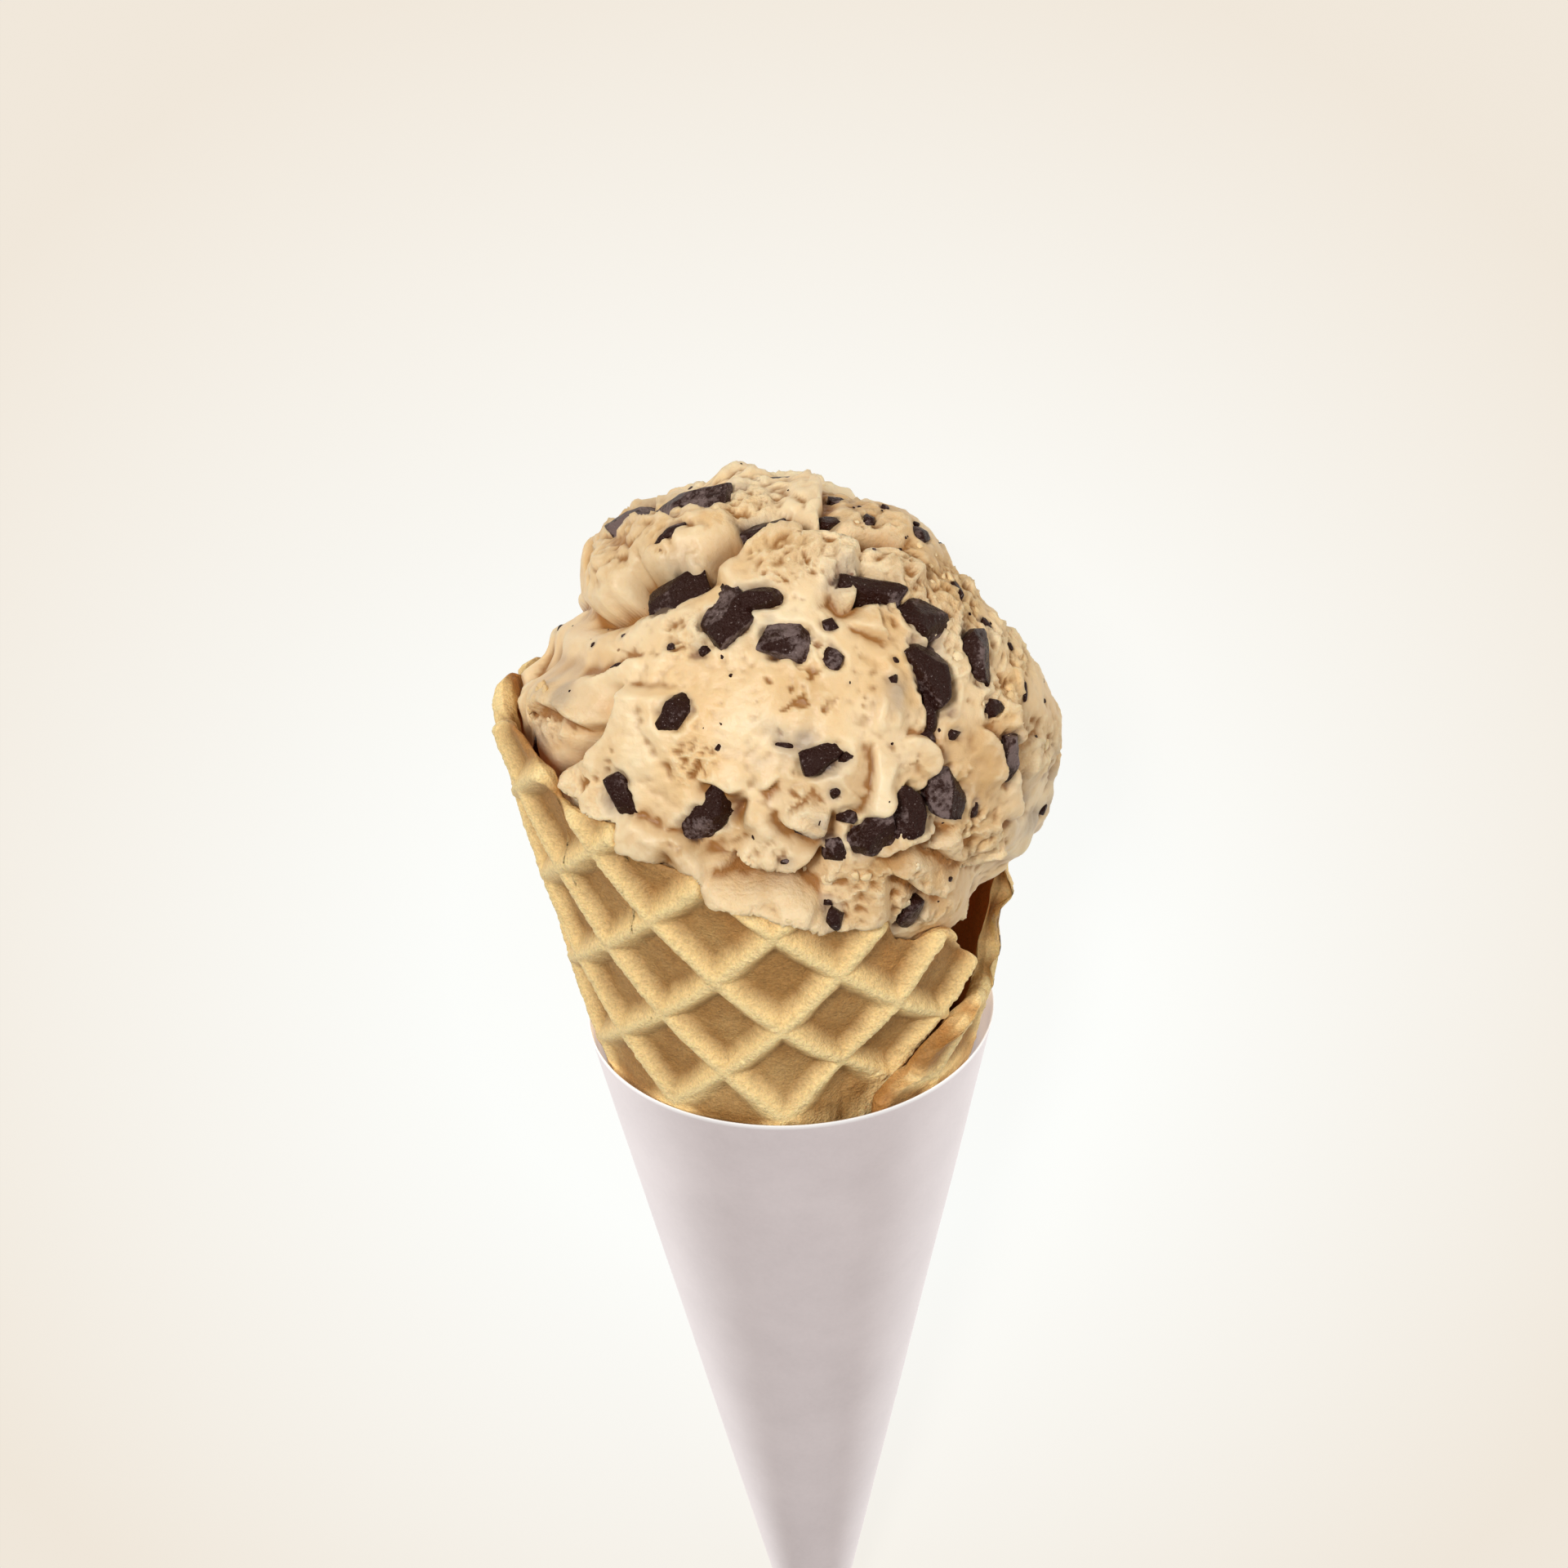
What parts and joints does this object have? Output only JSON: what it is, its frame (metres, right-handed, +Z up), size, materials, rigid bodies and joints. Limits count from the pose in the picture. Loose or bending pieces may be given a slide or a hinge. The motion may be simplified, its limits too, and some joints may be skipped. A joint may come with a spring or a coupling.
{
  "type": "ice cream cone",
  "caption": "Rolled waffle cone in a plain paper sleeve with a scoop of chocolate chunk ice cream, lying on its back.",
  "frame": {"origin": "middle of the base of the bounding box, on the surface that the cone lies on", "axes": "+Z up, +Y from the sleeve's tip to the scoop, +X to the right of someone who looks down at the shown side with the scoop away from them"},
  "size_m": [0.0678, 0.1854, 0.0632],
  "materials": {
    "waffle": "baked waffle, matt, grained, golden ridges and light brown hollows",
    "paper": "uncoated white paper",
    "ice_cream": "frozen cream, soft sheen, smooth and torn in places",
    "chocolate": "dark chocolate, satin, frosted on the broken faces"
  },
  "bodies": {
    "root": {"waffle_cone": "waffle", "paper_sleeve": "paper", "ice_cream": "ice_cream", "chocolate_chunk_01": "chocolate", "chocolate_chunk_02": "chocolate", "chocolate_chunk_03": "chocolate", "chocolate_chunk_04": "chocolate", "chocolate_chunk_05": "chocolate", "chocolate_chunk_06": "chocolate", "chocolate_chunk_07": "chocolate", "chocolate_chunk_08": "chocolate", "chocolate_chunk_09": "chocolate", "chocolate_chunk_10": "chocolate", "chocolate_chunk_11": "chocolate", "chocolate_chunk_12": "chocolate", "chocolate_chunk_13": "chocolate", "chocolate_chunk_14": "chocolate", "chocolate_chunk_15": "chocolate", "chocolate_chunk_16": "chocolate", "chocolate_chunk_17": "chocolate", "chocolate_chunk_18": "chocolate", "chocolate_chunk_19": "chocolate", "chocolate_chunk_20": "chocolate", "chocolate_chunk_21": "chocolate", "chocolate_chunk_22": "chocolate"}
  },
  "joints": []
}
